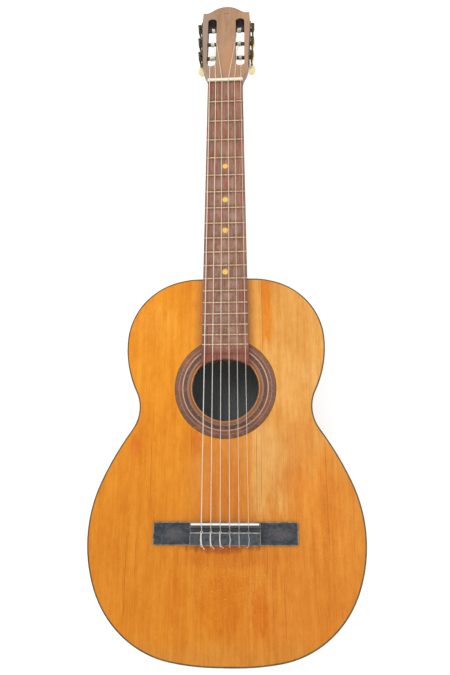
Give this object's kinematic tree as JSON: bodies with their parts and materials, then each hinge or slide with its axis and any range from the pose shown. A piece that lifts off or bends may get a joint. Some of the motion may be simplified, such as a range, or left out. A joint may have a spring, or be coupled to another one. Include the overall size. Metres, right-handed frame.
{
  "type": "classical guitar",
  "caption": "Six-string classical guitar with a waisted box body, ringed rosette, tie bridge and slotted head with worm-geared tuning machines.",
  "frame": {"origin": "centre of the flat back's outer face, which rests on the floor, with the guitar lying face up", "axes": "+Z out of the soundboard, +Y along the neck towards the head, +X towards the treble side"},
  "size_m": [0.3478, 1.0006, 0.1101],
  "materials": {
    "soundboard": "worn amber shellac over straight-grained spruce",
    "rosette": "inlaid brown rings with pale lines, varnished",
    "back": "varnished brown hardwood",
    "ribs": "varnished brown hardwood, bent",
    "binding": "dark stained edge strip, varnished",
    "inner_wood": "bare unfinished softwood",
    "neck": "satin varnished reddish hardwood",
    "head": "satin varnished pale reddish veneer",
    "fretboard": "oiled red-brown hardwood, worn between the frets",
    "frets": "tarnished nickel brass, polished on the crowns",
    "dots": "golden pearloid inlay",
    "bone": "polished aged bone",
    "bridge": "ebonised hardwood, worn grey on the wings",
    "bass_strings": "silver-plated wire winding",
    "treble_strings": "clear nylon",
    "tuner_metal": "aged nickel-plated steel, tarnished",
    "tuner_brass": "tarnished brass",
    "buttons": "cream celluloid, polished"
  },
  "bodies": {
    "guitar": {"soundboard": "soundboard", "rosette": "rosette", "back": "back", "rib_bass": "ribs", "rib_treble": "ribs", "top_binding": "binding", "back_binding": "binding", "neck_block": "inner_wood", "tail_block": "inner_wood", "top_linings": "inner_wood", "back_linings": "inner_wood", "harmonic_bars": "inner_wood", "fan_struts": "inner_wood", "back_braces": "inner_wood", "neck": "neck", "heel_cap": "binding", "headstock": "head", "head_veneer": "head", "fretboard": "fretboard", "frets": "frets", "position_dots": "dots", "nut": "bone", "bridge": "bridge", "saddle": "bone", "tie_block_strip": "bone", "bass_strings": "bass_strings", "treble_strings": "treble_strings", "tuner_plate_bass": "tuner_metal", "tuner_plate_treble": "tuner_metal", "plate_screws": "tuner_metal"},
    "key_low_e": {"worm_low_e": "tuner_metal", "button_low_e": "buttons"},
    "post_low_e": {"roller_low_e": "tuner_metal", "gear_low_e": "tuner_brass", "winding_low_e": "bass_strings"},
    "key_a": {"worm_a": "tuner_metal", "button_a": "buttons"},
    "post_a": {"roller_a": "tuner_metal", "gear_a": "tuner_brass", "winding_a": "bass_strings"},
    "key_d": {"worm_d": "tuner_metal", "button_d": "buttons"},
    "post_d": {"roller_d": "tuner_metal", "gear_d": "tuner_brass", "winding_d": "bass_strings"},
    "key_g": {"worm_g": "tuner_metal", "button_g": "buttons"},
    "post_g": {"roller_g": "tuner_metal", "gear_g": "tuner_brass", "winding_g": "treble_strings"},
    "key_b": {"worm_b": "tuner_metal", "button_b": "buttons"},
    "post_b": {"roller_b": "tuner_metal", "gear_b": "tuner_brass", "winding_b": "treble_strings"},
    "key_high_e": {"worm_high_e": "tuner_metal", "button_high_e": "buttons"},
    "post_high_e": {"roller_high_e": "tuner_metal", "gear_high_e": "tuner_brass", "winding_high_e": "treble_strings"}
  },
  "joints": [
    {"name": "turn_key_low_e", "type": "hinge", "parent": "guitar", "child": "key_low_e", "pos_m": [-0.04169, 0.63815, 0.07881], "axis": [0, 0.225, 0.9744], "continuous": true},
    {"name": "turn_post_low_e", "type": "hinge", "parent": "guitar", "child": "post_low_e", "pos_m": [-0.03677, 0.62945, 0.08082], "axis": [-0.9994, -0.034, 0.0079], "continuous": true},
    {"name": "turn_key_a", "type": "hinge", "parent": "guitar", "child": "key_a", "pos_m": [-0.04292, 0.67245, 0.0709], "axis": [0, 0.225, 0.9744], "continuous": true},
    {"name": "turn_post_a", "type": "hinge", "parent": "guitar", "child": "post_a", "pos_m": [-0.038, 0.66374, 0.07291], "axis": [-0.9994, -0.034, 0.0079], "continuous": true},
    {"name": "turn_key_d", "type": "hinge", "parent": "guitar", "child": "key_d", "pos_m": [-0.04414, 0.70675, 0.06298], "axis": [0, 0.225, 0.9744], "continuous": true},
    {"name": "turn_post_d", "type": "hinge", "parent": "guitar", "child": "post_d", "pos_m": [-0.03923, 0.69804, 0.06499], "axis": [-0.9994, -0.034, 0.0079], "continuous": true},
    {"name": "turn_key_g", "type": "hinge", "parent": "guitar", "child": "key_g", "pos_m": [0.04414, 0.70675, 0.06298], "axis": [0, 0.225, 0.9744], "continuous": true},
    {"name": "turn_post_g", "type": "hinge", "parent": "guitar", "child": "post_g", "pos_m": [0.03923, 0.69804, 0.06499], "axis": [0.9994, -0.034, 0.0079], "continuous": true},
    {"name": "turn_key_b", "type": "hinge", "parent": "guitar", "child": "key_b", "pos_m": [0.04292, 0.67245, 0.0709], "axis": [0, 0.225, 0.9744], "continuous": true},
    {"name": "turn_post_b", "type": "hinge", "parent": "guitar", "child": "post_b", "pos_m": [0.038, 0.66374, 0.07291], "axis": [0.9994, -0.034, 0.0079], "continuous": true},
    {"name": "turn_key_high_e", "type": "hinge", "parent": "guitar", "child": "key_high_e", "pos_m": [0.04169, 0.63815, 0.07881], "axis": [0, 0.225, 0.9744], "continuous": true},
    {"name": "turn_post_high_e", "type": "hinge", "parent": "guitar", "child": "post_high_e", "pos_m": [0.03677, 0.62945, 0.08082], "axis": [0.9994, -0.034, 0.0079], "continuous": true}
  ],
  "couplings": [
    {"joint": "turn_post_low_e", "follows": "turn_key_low_e", "ratio": 0.071429},
    {"joint": "turn_post_a", "follows": "turn_key_a", "ratio": 0.071429},
    {"joint": "turn_post_d", "follows": "turn_key_d", "ratio": 0.071429},
    {"joint": "turn_post_g", "follows": "turn_key_g", "ratio": -0.071429},
    {"joint": "turn_post_b", "follows": "turn_key_b", "ratio": -0.071429},
    {"joint": "turn_post_high_e", "follows": "turn_key_high_e", "ratio": -0.071429}
  ]
}
